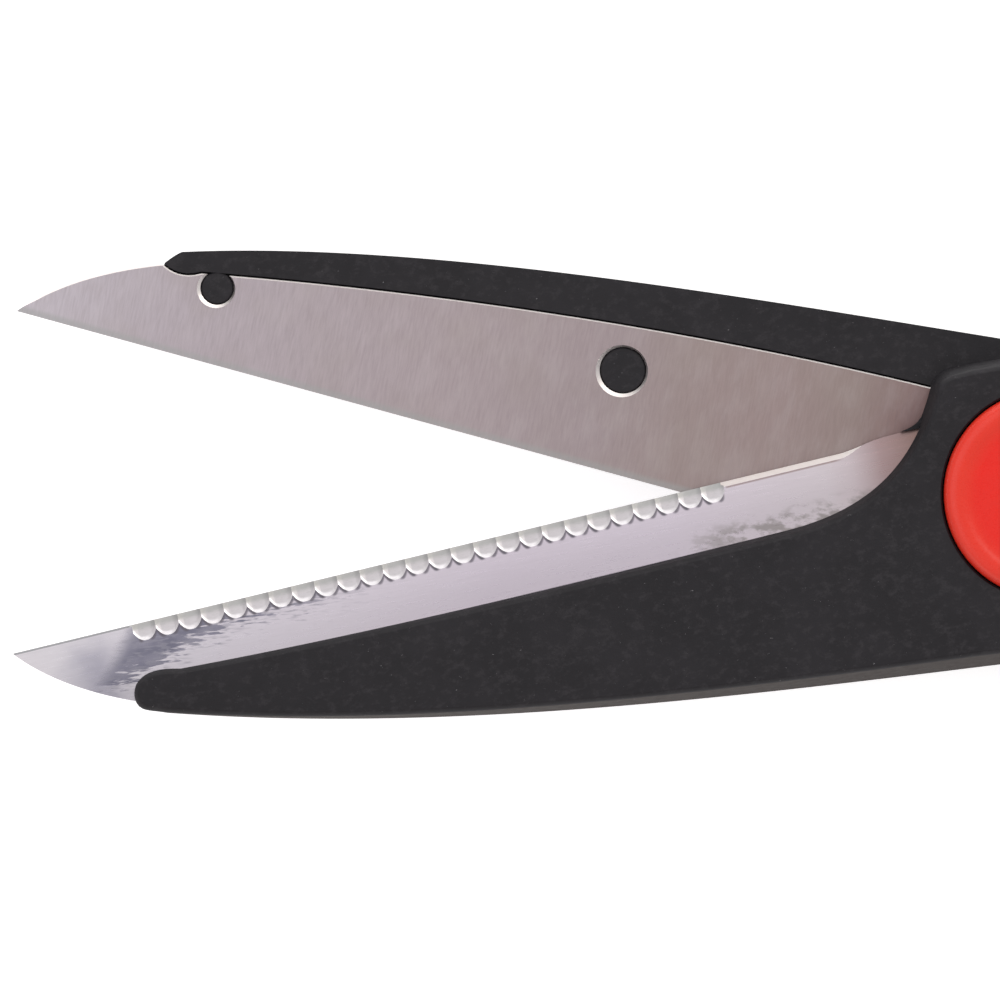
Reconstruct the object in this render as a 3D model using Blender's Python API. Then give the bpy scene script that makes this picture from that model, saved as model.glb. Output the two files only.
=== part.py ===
"""Household shears with a scallop-edge blade: two overmoulded arms on one pivot, lying flat.

Every length below is in millimetres; make_object() turns a finished mesh into metres.
Each arm is drawn in its own arm frame, with the pivot at the origin, the tip towards -X, the
handle towards +X and the other arm below z = 0. The front arm lies over the rear arm, which is
the same arm turned over about X. Two empties on the pivot axis carry the arms at rest.
"""

import math

import bmesh
import bpy
from mathutils import Matrix, Vector

MM = 0.001

# Overall
MID_HEIGHT = 6.0          # the blades meet at this height above the table
FRONT_REST_DEG = 8.85     # each arm's turn from the line of the closed shears
REAR_REST_DEG = -10.14
TIP_REACH = 87.2          # pivot to tip

# Blades
BLADE_INNER = 0.15        # inner face of a blade, above the arms' shared plane
BLADE_THICK = 1.8
BLADE_OUTER = BLADE_INNER + BLADE_THICK
EDGE_SLOPE = 0.083        # the edge rises this much per millimetre from tip to heel
EDGE_TIP_Y = 0.1
BEVEL_WIDTH = 5.2
EDGE_THICK = 0.45
HEEL_X = -16.5            # the ground edge ends here and the heel steps out
PIVOT_BORE_R = 3.35
NOSE_PLUG = (-71.15, -4.62, 1.40)    # x, y, radius of the hole that locks the moulding
WAIST_PLUG = (-36.63, -3.86, 1.95)
TANG_PLUGS = ((25.0, 4.9, 1.4), (38.0, 5.6, 1.4))
PLUG_GAP = 0.25

# Scallops ground into the front blade's edge
SCALLOPS = 26
SCALLOP_PITCH = 1.95
SCALLOP_START = 10.2      # from the tip to the first scallop, along the edge
SCALLOP_LENGTH = 1.5      # how far each one runs from the edge up the bevel
SCALLOP_LAND = 0.12       # steel left at the edge in the bottom of a scallop
SCALLOP_CUSP = 0.20       # height of the ridge between two scallops

# Moulded shells
SHELL_INNER = 0.35        # inner face of the moulding, a little behind the blade's
SHELL_NOSE = 3.3          # outer face above the shared plane at the nose
SHELL_HUB = 5.2           # and round the pivot
HANDLE_HALF = 6.0         # and at the handle, which is as thick on both sides
NOSE_X, TAPER_END_X, RAMP_X, HANDLE_X = -77.5, -12.0, 17.0, 24.0
DRAFT = 0.55              # how far the wall leans in over its full height
POCKET_GAP = 0.25         # between steel and moulding
HUB_CLEAR_R = 16.6        # the other arm's hub turns inside this radius
SHANK_Y = 0.75            # the handle's side that faces the other handle
HANDLE_ROUND = 2.4        # edge rounding on the handle
JACKET_ROUND = 0.4        # and on the blade jacket

# Pivot stack
CAP_R = 8.67
CAP_TOP = 6.0
CAP_RECESS_R = 8.95
WASHER_RECESS_R = 6.7
WASHER_SEAT_R = 6.4       # the thrust washer's seat in the rear blade
WASHER_SEAT_DEPTH = 0.6
LEDGE_Z = 3.0
SCREW_R = 2.4

# Rings of the pivot: bore radius, outer radius, lower and upper height
FRONT_WASHER = (2.7, 6.2, 2.2, 2.72)
PIVOT_BUSH = (2.65, 3.08, -1.9, 1.9)
THRUST_WASHER = (3.35, 6.1, 0.14, 0.46)
NYLON_WASHER = (2.9, 6.3, 2.2, 2.5)
REAR_WASHER = (2.7, 6.2, 2.7, 3.0)
WAVE_WASHER = (2.9, 5.6, 3.2, 3.42)

# Handle loops: centre x, centre y, half length, half width of the hole in the moulding
THUMB_HOLE = (74.5, 18.6, 20.5, 11.6)
FINGER_HOLE = (80.5, 19.6, 29.5, 12.4)
LOOP_WALL = 6.2
LOOP_POWER = 2.35
LINER_WALL = 1.5
LINER_LIP = 1.3           # the liner's lip, across and down each face
LINER_GAP = 0.25

STOP_PAD = (33.0, 41.0)   # from x to x
STOP_HALF_HEIGHT = 2.6
STOP_DEPTH = 1.2
INLAY = (26.0, 45.0, 6.0, 2.3)    # from x to x, centre y, half width
INLAY_DEPTH = 1.2
SOFT_GAP = 0.12           # round the inlay and the stop pad, in their pockets

BLACK = (0.030, 0.028, 0.032)
RED = (0.78, 0.045, 0.028)
STEEL = (0.55, 0.52, 0.53)
NYLON = (0.80, 0.79, 0.74)


# Outlines

def bezier(start, out, back, end, steps):
    """Points along a cubic curve, without its first."""
    points = []
    for i in range(1, steps + 1):
        t = i / steps
        s = 1 - t
        points.append(tuple(
            s**3 * a + 3 * s * s * t * b + 3 * s * t * t * c + t**3 * d
            for a, b, c, d in zip(start, out, back, end)
        ))
    return points


def arc(centre, radius, first_deg, last_deg, steps):
    """Points along an arc, both ends among them."""
    angles = [math.radians(first_deg + (last_deg - first_deg) * i / steps) for i in range(steps + 1)]
    return [(centre[0] + radius * math.cos(a), centre[1] + radius * math.sin(a)) for a in angles]


def loop_point(hole, grow, degrees):
    """A point on the superellipse of a handle's hole, grown outwards."""
    centre_x, centre_y, half_length, half_width = hole
    a = math.radians(degrees)
    c, s = math.cos(a), math.sin(a)
    power = 2 / LOOP_POWER
    return (
        centre_x + (half_length + grow) * math.copysign(abs(c) ** power, c),
        centre_y + (half_width + grow) * math.copysign(abs(s) ** power, s),
    )


def loop_ring(hole, grow, steps=40):
    return [loop_point(hole, grow, 360 * i / steps) for i in range(steps)]


def edge_y(x):
    return EDGE_TIP_Y + EDGE_SLOPE * (x + TIP_REACH)


def blade_outline():
    """One blade with its tang, anticlockwise from the tip along the spine."""
    tip = (-TIP_REACH, EDGE_TIP_Y)
    belly_end = (-75.9, -5.9)
    spine_start = (-72.6, -5.7)
    spine_end = (-11.0, -7.05)
    points = [tip]
    points += bezier(tip, (-84.2, -3.0), (-79.5, -4.9), belly_end, 7)
    points += [(-75.0, -5.45), (-74.2, -5.3), (-73.4, -5.5), spine_start]
    points += bezier(spine_start, (-55.0, -7.5), (-32.0, -8.4), spine_end, 10)
    points += bezier(spine_end, (-2.0, -6.8), (6.0, -7.6), (10.5, -2.5), 6)
    points += bezier((10.5, -2.5), (13.5, 1.2), (18.0, 2.4), (24.0, 2.6), 4)
    points += arc((42.0, 5.6), 2.6, -90, 90, 6)
    points += [(22.0, 8.2), (-9.0, 7.05), (-10.9, 6.9), (-14.1, 6.4)]
    points += [(HEEL_X, edge_y(HEEL_X))]
    return points


def shell_outline(back_y, back_out, back_in, hole):
    """The moulding's parting line, anticlockwise from the nose. back_y is its depth at the hub."""
    hub_r = math.hypot(6.0, back_y)
    hub_start = math.degrees(math.atan2(back_y, -6.0))
    back_end = (-6.0, back_y)
    nose_foot = (-75.6, -6.5)
    hub_end_deg = -4.0
    shank_foot = (18.6, SHANK_Y)
    nose_top = (-73.5, -3.22)
    jacket_end = (-22.0, 0.5)
    corner = (-8.05, 10.5)
    points = bezier(nose_top, (-76.8, -3.05), (-79.2, -4.9), nose_foot, 7)
    points += bezier(nose_foot, back_out, back_in, back_end, 13)
    hub = arc((0, 0), hub_r, hub_start, hub_end_deg, 12)[1:]
    points += hub
    points += bezier(hub[-1], (hub_r + 0.1, 0.2), (16.4, SHANK_Y), shank_foot, 4)
    points += [(STOP_PAD[0] - 3, SHANK_Y), (STOP_PAD[1] + 3, SHANK_Y)]
    around = [loop_point(hole, LOOP_WALL, d) for d in range(-102, 136, 9)]
    points += around
    leaving = Vector(around[-1]) + (Vector(around[-1]) - Vector(around[-2])).normalized() * 15
    points += bezier(around[-1], leaving, (37.0, 11.0), (26.0, 10.6), 9)
    points += bezier((26.0, 10.6), (19.0, 10.35), (12.0, 11.75), (4.0, 11.75), 5)
    points += [(-4.6, 11.72)]
    points += bezier((-6.1, 11.6), (-6.9, 11.5), (-7.5, 11.3), corner, 3)
    points += bezier(corner, (-10.2, 5.5), (-13.5, 1.28), jacket_end, 9)
    points += bezier(jacket_end, (-39.0, -1.06), (-56.5, -2.65), nose_top, 8)
    return points


def grown(outline, gap):
    """The outline moved out by a small gap, corner by corner."""
    moved = []
    for i, point in enumerate(outline):
        before = Vector(outline[i - 1])
        here = Vector(point)
        after = Vector(outline[(i + 1) % len(outline)])
        one = (here - before).normalized()
        two = (after - here).normalized()
        out = (Vector((one.y, -one.x)) + Vector((two.y, -two.x))).normalized()
        moved.append(tuple(here + out * gap))
    return moved


# Meshes, all in millimetres

def prism(outline, low, high):
    """A flat face pulled up into a solid."""
    bm = bmesh.new()
    face = bm.faces.new([bm.verts.new((x, y, low)) for x, y in outline])
    face.normal_update()
    if face.normal.z > 0:
        face.normal_flip()
    pulled = bmesh.ops.extrude_face_region(bm, geom=[face])["geom"]
    for v in pulled:
        if isinstance(v, bmesh.types.BMVert):
            v.co.z = high
    bmesh.ops.recalc_face_normals(bm, faces=bm.faces)
    return bm


def loft(rings, closed=False):
    """A skin drawn from ring to ring, each a list of points and a height, all of one count."""
    bm = bmesh.new()
    points, height = rings[0]
    row = [bm.verts.new((x, y, height)) for x, y in points]
    edges = [bm.edges.new((row[i - 1], row[i])) for i in range(len(row))]
    first = row
    for points, height in rings[1:] + rings[:1] * closed:
        place = {v: i for i, v in enumerate(row)}
        drawn = bmesh.ops.extrude_edge_only(bm, edges=edges)["geom"]
        row = [None] * len(row)
        for v in drawn:
            if isinstance(v, bmesh.types.BMVert):
                at = next(place[e.other_vert(v)] for e in v.link_edges if e.other_vert(v) in place)
                row[at] = v
                v.co = (*points[at], height)
        edges = [bm.edges.get((row[i - 1], row[i])) for i in range(len(row))]
    if closed:
        bmesh.ops.remove_doubles(bm, verts=bm.verts, dist=0.002)
    else:
        bm.faces.new(first)
        bm.faces.new(row)
    bmesh.ops.recalc_face_normals(bm, faces=bm.faces)
    return bm


def turned(profile, steps=40, closed_on_axis=True):
    """A profile of (radius, height) points spun round Z. An open one starts and ends on the axis."""
    bm = bmesh.new()
    verts = [bm.verts.new((r, 0, z)) for r, z in profile]
    edges = [bm.edges.new(pair) for pair in zip(verts, verts[1:])]
    if not closed_on_axis:
        edges.append(bm.edges.new((verts[-1], verts[0])))
    bmesh.ops.spin(
        bm, geom=verts + edges, cent=(0, 0, 0), axis=(0, 0, 1), dvec=(0, 0, 0),
        angle=math.tau, steps=steps, use_merge=True, use_duplicate=False,
    )
    bmesh.ops.remove_doubles(bm, verts=bm.verts, dist=0.002)
    bmesh.ops.recalc_face_normals(bm, faces=bm.faces)
    return bm


def ring_washer(inner_r, outer_r, low, high, steps=36):
    profile = [(inner_r, low), (outer_r, low), (outer_r, high), (inner_r, high)]
    return turned(profile, steps, closed_on_axis=False)


def cylinder(x, y, radius, low, high, steps=24):
    return prism([(x + px, y + py) for px, py in arc((0, 0), radius, 0, 360, steps)[:-1]], low, high)


def box(low, high):
    bm = bmesh.new()
    bmesh.ops.create_cube(bm, size=1)
    size = [b - a for a, b in zip(low, high)]
    middle = [(a + b) / 2 for a, b in zip(low, high)]
    bmesh.ops.scale(bm, verts=bm.verts, vec=size)
    bmesh.ops.translate(bm, verts=bm.verts, vec=middle)
    return bm


# Objects

def material(name, colour, metallic, roughness):
    made = bpy.data.materials.new(name)
    made.use_nodes = True
    shader = made.node_tree.nodes["Principled BSDF"]
    shader.inputs["Base Color"].default_value = (*colour, 1)
    shader.inputs["Metallic"].default_value = metallic
    shader.inputs["Roughness"].default_value = roughness
    return made


def make_object(name, bm, arm, finish=None):
    bmesh.ops.scale(bm, verts=bm.verts, vec=(MM, MM, MM))
    mesh = bpy.data.meshes.new(name)
    bm.to_mesh(mesh)
    bm.free()
    obj = bpy.data.objects.new(name, mesh)
    bpy.context.scene.collection.objects.link(obj)
    obj.parent = arm
    if finish:
        mesh.materials.append(finish)
        mesh.shade_smooth()
        mesh.set_sharp_from_angle(angle=math.radians(30))
    return obj


def boolean(obj, operation, name, bm):
    """Cuts bm out of obj, or joins it on, with a hidden helper."""
    helper = make_object(f"{obj.name}_{name}", bm, obj.parent)
    helper.hide_render = True
    helper.display_type = "WIRE"
    modifier = obj.modifiers.new(name, "BOOLEAN")
    modifier.operation = operation
    modifier.solver = "EXACT"
    modifier.object = helper


def arm_empty(name, turn):
    empty = bpy.data.objects.new(name, None)
    bpy.context.scene.collection.objects.link(empty)
    empty.matrix_world = Matrix.Translation((0, 0, MID_HEIGHT * MM)) @ turn
    return empty


# Blades

def ground_blade():
    """The flat blade with its bevel ground from the outer face down to the edge."""
    bm = prism(blade_outline(), BLADE_INNER, BLADE_OUTER)
    along = Vector((1, EDGE_SLOPE, 0)).normalized()
    across = Vector((-along.y, along.x, 0))
    edge_foot = Vector((-TIP_REACH, EDGE_TIP_Y, 0))
    bmesh.ops.bisect_plane(
        bm, geom=bm.verts[:] + bm.edges[:] + bm.faces[:], dist=1e-4,
        plane_co=edge_foot - across * BEVEL_WIDTH, plane_no=across,
    )
    for v in bm.verts:
        share = 1 + (v.co - edge_foot).dot(across) / BEVEL_WIDTH
        if v.co.z > BLADE_OUTER - 0.01 and share > 0.001:
            v.co.z -= min(share, 1) * (BLADE_THICK - EDGE_THICK)
    return bm


def scallop_cutter():
    """A fluted bar: its underside is a row of arcs, and it dips towards the edge."""
    along = Vector((1, EDGE_SLOPE, 0)).normalized()
    across = Vector((-along.y, along.x, 0))
    foot_z = BLADE_INNER + SCALLOP_LAND
    bevel_rise = (BLADE_THICK - EDGE_THICK) / BEVEL_WIDTH
    run_out_z = BLADE_INNER + EDGE_THICK + bevel_rise * SCALLOP_LENGTH
    start = Vector((-TIP_REACH, EDGE_TIP_Y, 0)) + along * SCALLOP_START
    reach = 2.0 * SCALLOP_LENGTH
    dip = (run_out_z - foot_z) / SCALLOP_LENGTH
    profile = []
    steps = 6
    for n in range(SCALLOPS):
        for i in range(steps + (n == SCALLOPS - 1)):
            side = 2 * i / steps - 1
            profile.append(((n + i / steps) * SCALLOP_PITCH, SCALLOP_CUSP * side * side))
    width = SCALLOPS * SCALLOP_PITCH
    top = 3.0
    profile += [(width, top), (0, top)]
    bm = bmesh.new()
    rows = []
    for across_by in (0.5, -reach):
        low = foot_z - dip * across_by
        rows.append([
            bm.verts.new(start + along * u + across * across_by + Vector((0, 0, low + h)))
            for u, h in profile
        ])
    edges = [[bm.edges.new((row[i - 1], row[i])) for i in range(len(row))] for row in rows]
    bmesh.ops.bridge_loops(bm, edges=edges[0] + edges[1])
    bm.faces.new(rows[0])
    bm.faces.new(rows[1])
    bmesh.ops.recalc_face_normals(bm, faces=bm.faces)
    return bm


def make_blade(name, arm, steel, scalloped, washer_seat):
    blade = make_object(name, ground_blade(), arm, steel)
    boolean(blade, "DIFFERENCE", "pivot_bore", cylinder(0, 0, PIVOT_BORE_R, -1, 4, 32))
    holes = (("nose_hole", NOSE_PLUG), ("waist_hole", WAIST_PLUG),
             ("tang_hole_1", TANG_PLUGS[0]), ("tang_hole_2", TANG_PLUGS[1]))
    for hole_name, (x, y, radius) in holes:
        boolean(blade, "DIFFERENCE", hole_name, cylinder(x, y, radius, -1, 4, 20))
    if washer_seat:
        boolean(blade, "DIFFERENCE", "washer_seat", cylinder(
            0, 0, WASHER_SEAT_R, -1, BLADE_INNER + WASHER_SEAT_DEPTH, 32))
    if scalloped:
        boolean(blade, "DIFFERENCE", "scallops", scallop_cutter())
    return blade


# Shells

def shell_height(x):
    """Height of the outer face over the shared plane."""
    if x < TAPER_END_X:
        share = max(0, (x - NOSE_X) / (TAPER_END_X - NOSE_X))
        return SHELL_NOSE + (SHELL_HUB - SHELL_NOSE) * share
    share = min(1, max(0, (x - RAMP_X) / (HANDLE_X - RAMP_X)))
    return SHELL_HUB + (HANDLE_HALF - SHELL_HUB) * share


def edge_round(x):
    """Radius of the outer edge: slight on the blade jacket, full on the handle."""
    share = min(1, max(0, (x - RAMP_X + 4) / 16))
    return JACKET_ROUND + (HANDLE_ROUND - JACKET_ROUND) * share


def moulding(outline):
    """The outline as a solid with drafted walls and rounded edges, thinner towards the nose.

    It is drawn at the handle's full height first. Every point then moves in towards the wall
    below it and down to the height that the moulding has there.
    """
    wall_top = HANDLE_HALF - HANDLE_ROUND
    rounding = [(HANDLE_ROUND * (1 - math.cos(a)), HANDLE_ROUND * math.sin(a))
                for a in (math.radians(d) for d in (0, 30, 60, 90))]
    bm = prism(outline, -SHELL_INNER, SHELL_INNER)
    ends = [next(f for f in bm.faces if f.normal.z * side > 0.9) for side in (1, -1)]
    for end in ends:
        bmesh.ops.inset_region(bm, faces=[end], thickness=DRAFT, depth=wall_top - SHELL_INNER,
                               use_even_offset=True)
        for (was_in, was_up), (now_in, now_up) in zip(rounding, rounding[1:]):
            bmesh.ops.inset_region(bm, faces=[end], thickness=now_in - was_in, depth=now_up - was_up,
                                   use_even_offset=True)
    for x in (TAPER_END_X, RAMP_X, HANDLE_X):
        bmesh.ops.bisect_plane(
            bm, geom=bm.verts[:] + bm.edges[:] + bm.faces[:], dist=1e-4,
            plane_co=(x, 0, 0), plane_no=(1, 0, 0),
        )
    drawn = {v: v.co.copy() for v in bm.verts}
    for v in sorted(bm.verts, key=lambda one: abs(drawn[one].z)):
        height = abs(drawn[v].z)
        if height < SHELL_INNER + 0.01:
            continue
        foot = next(e.other_vert(v) for e in v.link_edges
                    if SHELL_INNER - 0.01 < abs(drawn[e.other_vert(v)].z) < height - 0.01)
        outer = shell_height(v.co.x) if drawn[v].z > 0 else HANDLE_HALF
        radius = edge_round(v.co.x)
        if height < wall_top + 0.01:
            share = (outer - radius - SHELL_INNER) / (wall_top - SHELL_INNER)
            up = outer - radius
        else:
            share = radius / HANDLE_ROUND
            up = outer - radius + (height - wall_top) * share
        v.co.xy = foot.co.xy + (drawn[v].xy - drawn[foot].xy) * share
        v.co.z = math.copysign(up, drawn[v].z)
    return bm


def other_arm_room():
    """What the other arm needs: everything below the moulding's inner face, out to the hub."""
    outline = [(-100, -40), (0, -40)] + arc((0, 0), HUB_CLEAR_R, -90, 90, 28) + [(0, 40), (-100, 40)]
    return prism(outline, -9, SHELL_INNER)


def pivot_recess():
    """Room for the washers and screw head on the blade, and for the cap over them."""
    profile = [(0, 1.0), (WASHER_RECESS_R, 1.0), (WASHER_RECESS_R, LEDGE_Z),
               (CAP_RECESS_R, LEDGE_Z), (CAP_RECESS_R, 8), (0, 8)]
    return turned(profile, 48)


def loop_cutter(hole):
    """The hole through a handle, stepped out at both faces for the liner's lips."""
    face, step = HANDLE_HALF + 1, HANDLE_HALF - LINER_LIP
    lip, bare = loop_ring(hole, LINER_LIP), loop_ring(hole, 0)
    return loft([(lip, -face), (lip, -step), (bare, -step), (bare, step), (lip, step), (lip, face)])


def slot_outline(first, last, y, half_width, steps=8):
    """A round-ended slot along X."""
    right = arc((last - half_width, y), half_width, -90, 90, steps)
    left = arc((first + half_width, y), half_width, 90, 270, steps)
    return right + left


def make_shell(name, arm, plastic, outline, hole):
    shell = make_object(name, moulding(outline), arm, plastic)
    boolean(shell, "DIFFERENCE", "other_arm_room", other_arm_room())
    pocket = prism(grown(blade_outline(), POCKET_GAP), BLADE_INNER - POCKET_GAP, BLADE_OUTER + POCKET_GAP)
    boolean(shell, "DIFFERENCE", "blade_pocket", pocket)
    boolean(shell, "DIFFERENCE", "pivot_recess", pivot_recess())
    boolean(shell, "DIFFERENCE", "loop_hole", loop_cutter(hole))
    first, last, y, half_width = INLAY
    boolean(shell, "DIFFERENCE", "inlay_recess",
            prism(slot_outline(first, last, y, half_width), HANDLE_HALF - INLAY_DEPTH, HANDLE_HALF + 1))
    boolean(shell, "DIFFERENCE", "stop_pocket",
            box((STOP_PAD[0], -2, -STOP_HALF_HEIGHT), (STOP_PAD[1], SHANK_Y + STOP_DEPTH, STOP_HALF_HEIGHT)))
    plugs = (("nose_plug", NOSE_PLUG, SHELL_INNER), ("waist_plug", WAIST_PLUG, SHELL_INNER),
             ("tang_plug_1", TANG_PLUGS[0], -0.5), ("tang_plug_2", TANG_PLUGS[1], -0.5))
    for plug_name, (x, y, radius), low in plugs:
        plug = cylinder(x, y, radius - PLUG_GAP, low, BLADE_OUTER + 0.6, 20)
        boolean(shell, "UNION", plug_name, plug)
    return shell


def make_liner(name, arm, soft, hole):
    """The soft ring in a loop: a lip on each face and a bulging inside."""
    step = HANDLE_HALF - LINER_LIP + LINER_GAP
    face = HANDLE_HALF - 0.15
    lip, bare = loop_ring(hole, LINER_LIP - LINER_GAP), loop_ring(hole, -LINER_GAP)
    mouth, inside = loop_ring(hole, -LINER_WALL * 0.45), loop_ring(hole, -LINER_WALL)
    rings = [(bare, step), (lip, step), (lip, face - 0.4), (loop_ring(hole, LINER_LIP * 0.5), face)]
    rings += [(mouth, face - 0.4), (inside, face - 2.2)]
    below = [(ring, -z) for ring, z in reversed(rings)]
    return make_object(name, loft(rings + below, closed=True), arm, soft)


def make_stop_pad(name, arm, rubber):
    pad = make_object(name, box(
        (STOP_PAD[0] + SOFT_GAP, SHANK_Y - 0.5, -STOP_HALF_HEIGHT + SOFT_GAP),
        (STOP_PAD[1] - SOFT_GAP, SHANK_Y + STOP_DEPTH - SOFT_GAP, STOP_HALF_HEIGHT - SOFT_GAP),
    ), arm, rubber)
    rounding = pad.modifiers.new("edge_rounding", "BEVEL")
    rounding.width = 0.3 * MM
    rounding.segments = 2
    return pad


def make_inlay(name, arm, soft):
    first, last, y, half_width = INLAY
    bm = prism(slot_outline(first + SOFT_GAP, last - SOFT_GAP, y, half_width - SOFT_GAP),
               HANDLE_HALF - INLAY_DEPTH + SOFT_GAP, HANDLE_HALF - SOFT_GAP)
    return make_object(name, bm, arm, soft)


# Pivot

def make_cap(name, arm, plastic):
    foot = LEDGE_Z + 0.3
    profile = [(0, 4.9), (7.7, 4.9), (7.7, foot), (8.45, foot), (CAP_R, foot + 0.3), (CAP_R, 5.15)]
    profile += bezier((CAP_R, 5.15), (CAP_R - 0.1, 5.55), (7.3, 5.85), (5.4, CAP_TOP), 4)
    profile += [(0, CAP_TOP)]
    return make_object(name, turned(profile, 48), arm, plastic)


def make_screw(name, arm, steel):
    head_low, head_high, head_r, foot = 3.0, 4.4, 5.0, -4.5
    chamfer = 0.3
    profile = [(0, foot), (SCREW_R - chamfer, foot), (SCREW_R, foot + chamfer), (SCREW_R, head_low),
               (head_r, head_low), (head_r, head_high - chamfer), (head_r - chamfer, head_high),
               (0, head_high)]
    screw = make_object(name, turned(profile, 32), arm, steel)
    boolean(screw, "DIFFERENCE", "slot", box((-6, -0.6, head_high - 0.7), (6, 0.6, head_high + 1)))
    return screw


def make_nut(name, arm, steel):
    across_corners = 4.7
    low, high = 3.75, 4.65
    nut = make_object(name, cylinder(0, 0, across_corners, low, high, 6), arm, steel)
    boolean(nut, "DIFFERENCE", "thread", cylinder(0, 0, SCREW_R + 0.25, low - 1, high + 1, 32))
    return nut


def make_wave_washer(name, arm, steel):
    bm = ring_washer(*WAVE_WASHER)
    waves, rise = 3, 0.1
    for v in bm.verts:
        v.co.z += rise * (1 + math.cos(waves * math.atan2(v.co.y, v.co.x))) / 2
    return make_object(name, bm, arm, steel)


def front_nut_arm(front):
    """The nut sits on the rear side and turns with the screw, so it hangs turned over on the front arm."""
    empty = bpy.data.objects.new("nut_side", None)
    bpy.context.scene.collection.objects.link(empty)
    empty.parent = front
    empty.rotation_euler.x = math.pi
    return empty


def main():
    for old in list(bpy.data.objects):
        bpy.data.objects.remove(old)

    black = material("black_moulding", BLACK, 0, 0.5)
    red = material("red_cap", RED, 0, 0.25)
    soft = material("red_soft_grip", RED, 0, 0.6)
    rubber = material("black_rubber", BLACK, 0, 0.8)
    steel = material("ground_steel", STEEL, 1, 0.3)
    bright = material("pivot_steel", STEEL, 1, 0.2)
    nylon = material("nylon", NYLON, 0, 0.5)

    turned_over = Matrix.Rotation(math.pi, 4, "X")
    front = arm_empty("front_arm", Matrix.Rotation(math.radians(FRONT_REST_DEG), 4, "Z"))
    rear = arm_empty("rear_arm", Matrix.Rotation(math.radians(REAR_REST_DEG), 4, "Z") @ turned_over)

    make_blade("front_blade", front, steel, scalloped=True, washer_seat=False)
    make_blade("rear_blade", rear, steel, scalloped=False, washer_seat=True)

    front_outline = shell_outline(-13.45, (-53.0, -11.9), (-29.5, -12.7), THUMB_HOLE)
    rear_outline = shell_outline(-12.1, (-55.0, -11.6), (-28.0, -11.75), FINGER_HOLE)
    make_shell("front_shell", front, black, front_outline, THUMB_HOLE)
    make_shell("rear_shell", rear, black, rear_outline, FINGER_HOLE)

    make_liner("thumb_liner", front, soft, THUMB_HOLE)
    make_liner("finger_liner", rear, soft, FINGER_HOLE)
    make_inlay("front_inlay", front, soft)
    make_inlay("rear_inlay", rear, soft)
    make_stop_pad("front_stop_pad", front, rubber)
    make_stop_pad("rear_stop_pad", rear, rubber)

    make_cap("front_cap", front, red)
    make_cap("rear_cap", rear, red)
    make_screw("pivot_screw", front, bright)
    make_object("front_washer", ring_washer(*FRONT_WASHER), front, bright)
    make_object("pivot_bush", ring_washer(*PIVOT_BUSH, 32), front, nylon)
    make_object("thrust_washer", ring_washer(*THRUST_WASHER), rear, nylon)
    make_object("nylon_washer", ring_washer(*NYLON_WASHER), rear, nylon)
    make_object("rear_washer", ring_washer(*REAR_WASHER), rear, bright)
    make_wave_washer("wave_washer", rear, bright)
    make_nut("pivot_nut", front_nut_arm(front), bright)


main()
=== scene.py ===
"""Household shears with a scallop-edge blade: the finished surfaces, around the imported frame.

Lengths are in millimetres until a piece is placed. Each arm is drawn in its own arm frame, with
the pivot at the origin, the tip towards -X, the handle towards +X and the other arm below z = 0.
"""

import math

import bmesh
import bpy
from mathutils import Matrix, Vector


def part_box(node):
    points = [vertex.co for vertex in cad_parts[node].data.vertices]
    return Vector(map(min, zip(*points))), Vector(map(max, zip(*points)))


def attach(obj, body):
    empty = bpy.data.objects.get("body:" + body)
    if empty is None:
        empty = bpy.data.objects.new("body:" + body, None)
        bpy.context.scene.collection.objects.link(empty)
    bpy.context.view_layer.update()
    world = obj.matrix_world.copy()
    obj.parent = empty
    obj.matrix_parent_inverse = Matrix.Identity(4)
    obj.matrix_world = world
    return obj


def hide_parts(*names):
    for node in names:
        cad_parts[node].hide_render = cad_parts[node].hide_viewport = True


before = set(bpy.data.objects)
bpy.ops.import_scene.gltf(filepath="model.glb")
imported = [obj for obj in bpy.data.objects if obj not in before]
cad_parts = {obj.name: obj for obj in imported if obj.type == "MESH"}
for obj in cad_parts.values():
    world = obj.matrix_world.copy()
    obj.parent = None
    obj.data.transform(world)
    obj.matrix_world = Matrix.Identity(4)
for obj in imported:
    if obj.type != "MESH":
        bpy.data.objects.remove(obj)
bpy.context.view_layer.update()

MM = 0.001

# Where the arms lie
MID_HEIGHT = (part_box("front_cap")[1].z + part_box("rear_cap")[0].z) / 2 / MM
FRONT_DEG = 8.85
REAR_DEG = -10.14
FRONT = Matrix.Translation((0, 0, MID_HEIGHT)) @ Matrix.Rotation(math.radians(FRONT_DEG), 4, "Z")
REAR = (Matrix.Translation((0, 0, MID_HEIGHT)) @ Matrix.Rotation(math.radians(REAR_DEG), 4, "Z")
        @ Matrix.Rotation(math.pi, 4, "X"))

# Blades
INNER = 0.15              # inner face of a blade, above the arms' shared plane
THICK = 1.8
OUTER = INNER + THICK
TIP_X = -87.2
TIP_Y = 0.1
FRONT_SLOPE = 0.083       # the edge rises this much per millimetre from tip to heel
REAR_SLOPE = 0.0895
GRIND_WIDTH = 5.2
GRIND_HOLLOW = 0.12
EDGE_THICK = 0.4
HONE_LAND = 0.06          # what the second bevel leaves of the edge's thickness
SPINE_CHAMFER = 0.11
# Widths of the second bevel: front blade's tip and heel, rear blade
TIP_HONE, HEEL_HONE, REAR_HONE = 0.17, 0.42, 0.3
FLARE = 0.2               # of the nose hole's countersink
WAIST_FLARE = 0.24
HEEL_X = -16.5
PIVOT_BORE_R = 3.35
WASHER_SEAT_R = 6.4
WASHER_SEAT_DEPTH = 0.6
BLADE_CUT = (-1, 4)       # from below to above a blade, for tools that cut through it
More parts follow.
